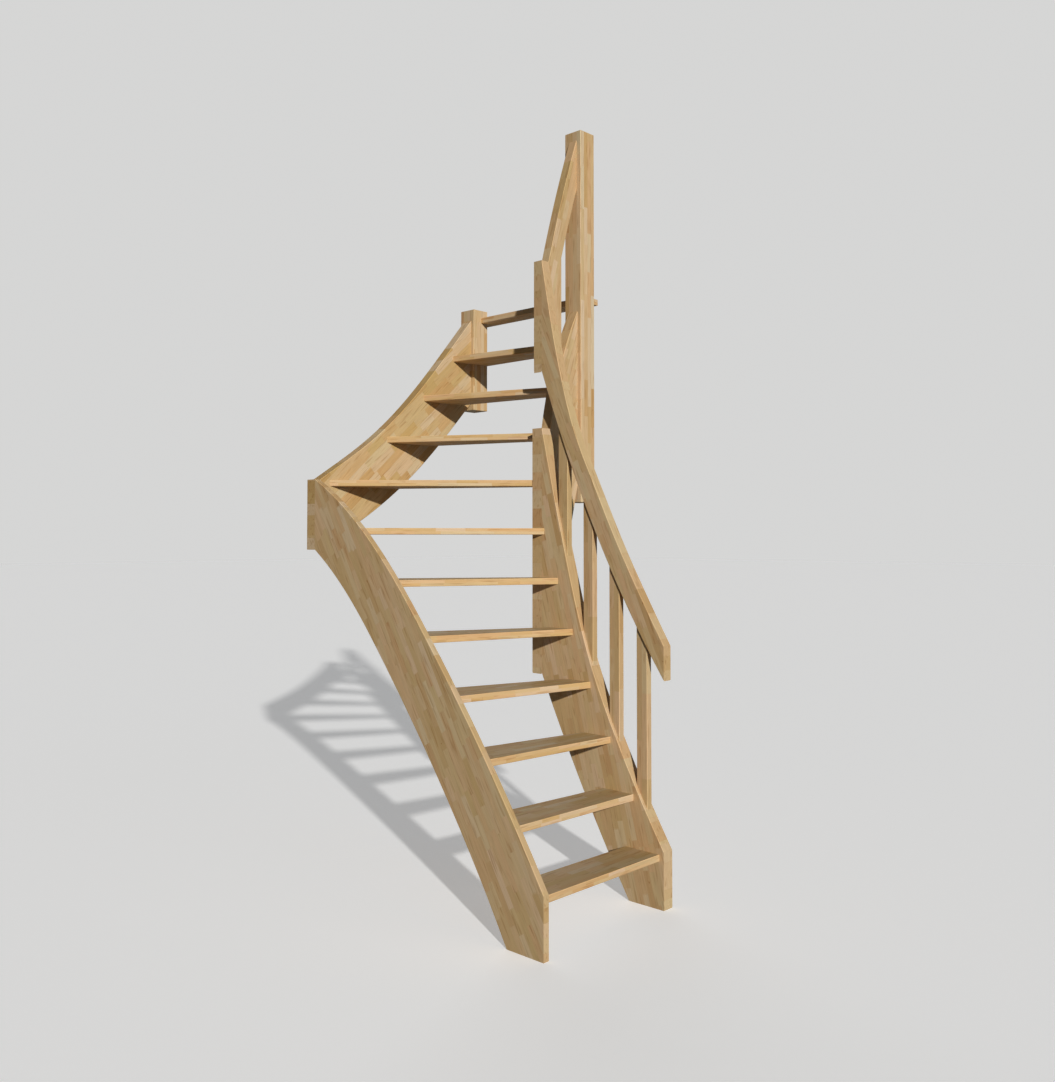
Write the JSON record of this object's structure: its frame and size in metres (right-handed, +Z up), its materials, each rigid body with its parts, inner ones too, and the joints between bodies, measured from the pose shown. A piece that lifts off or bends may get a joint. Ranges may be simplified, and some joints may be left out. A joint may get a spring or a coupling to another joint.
{
  "type": "quarter-turn winder staircase",
  "caption": "Open-riser wooden winder stair that turns a quarter to the right, with curved housed stringers, slatted balusters, a curved handrail and two landing posts.",
  "frame": {"origin": "on the floor, in the middle of the lower outer stringer's foot", "axes": "+Z up, +Y the way the lower flight climbs, +X the way the upper flight climbs after the turn"},
  "size_m": [1.11, 1.469, 3.421],
  "materials": {
    "stringer_wood": "clear satin lacquer on finger-jointed laminated wood",
    "tread_wood": "clear satin lacquer on finger-jointed laminated wood",
    "post_wood": "clear satin lacquer on finger-jointed laminated wood",
    "rail_wood": "clear satin lacquer on finger-jointed laminated wood",
    "baluster_wood": "clear satin lacquer on finger-jointed laminated wood"
  },
  "bodies": {
    "root": {"lower_outer_stringer": "stringer_wood", "upper_outer_stringer": "stringer_wood", "lower_inner_stringer": "stringer_wood", "upper_inner_stringer": "stringer_wood", "lower_handrail": "rail_wood", "upper_handrail": "rail_wood", "short_landing_post": "post_wood", "tall_landing_newel": "post_wood", "lower_baluster_1": "baluster_wood", "lower_baluster_2": "baluster_wood", "lower_baluster_3": "baluster_wood", "lower_baluster_4": "baluster_wood", "upper_baluster": "baluster_wood", "tread_01": "tread_wood", "tread_02": "tread_wood", "tread_03": "tread_wood", "tread_04": "tread_wood", "tread_05": "tread_wood", "tread_06": "tread_wood", "tread_07": "tread_wood", "tread_08": "tread_wood", "tread_09": "tread_wood", "tread_10": "tread_wood", "tread_11": "tread_wood", "landing_tread": "tread_wood"}
  },
  "joints": []
}
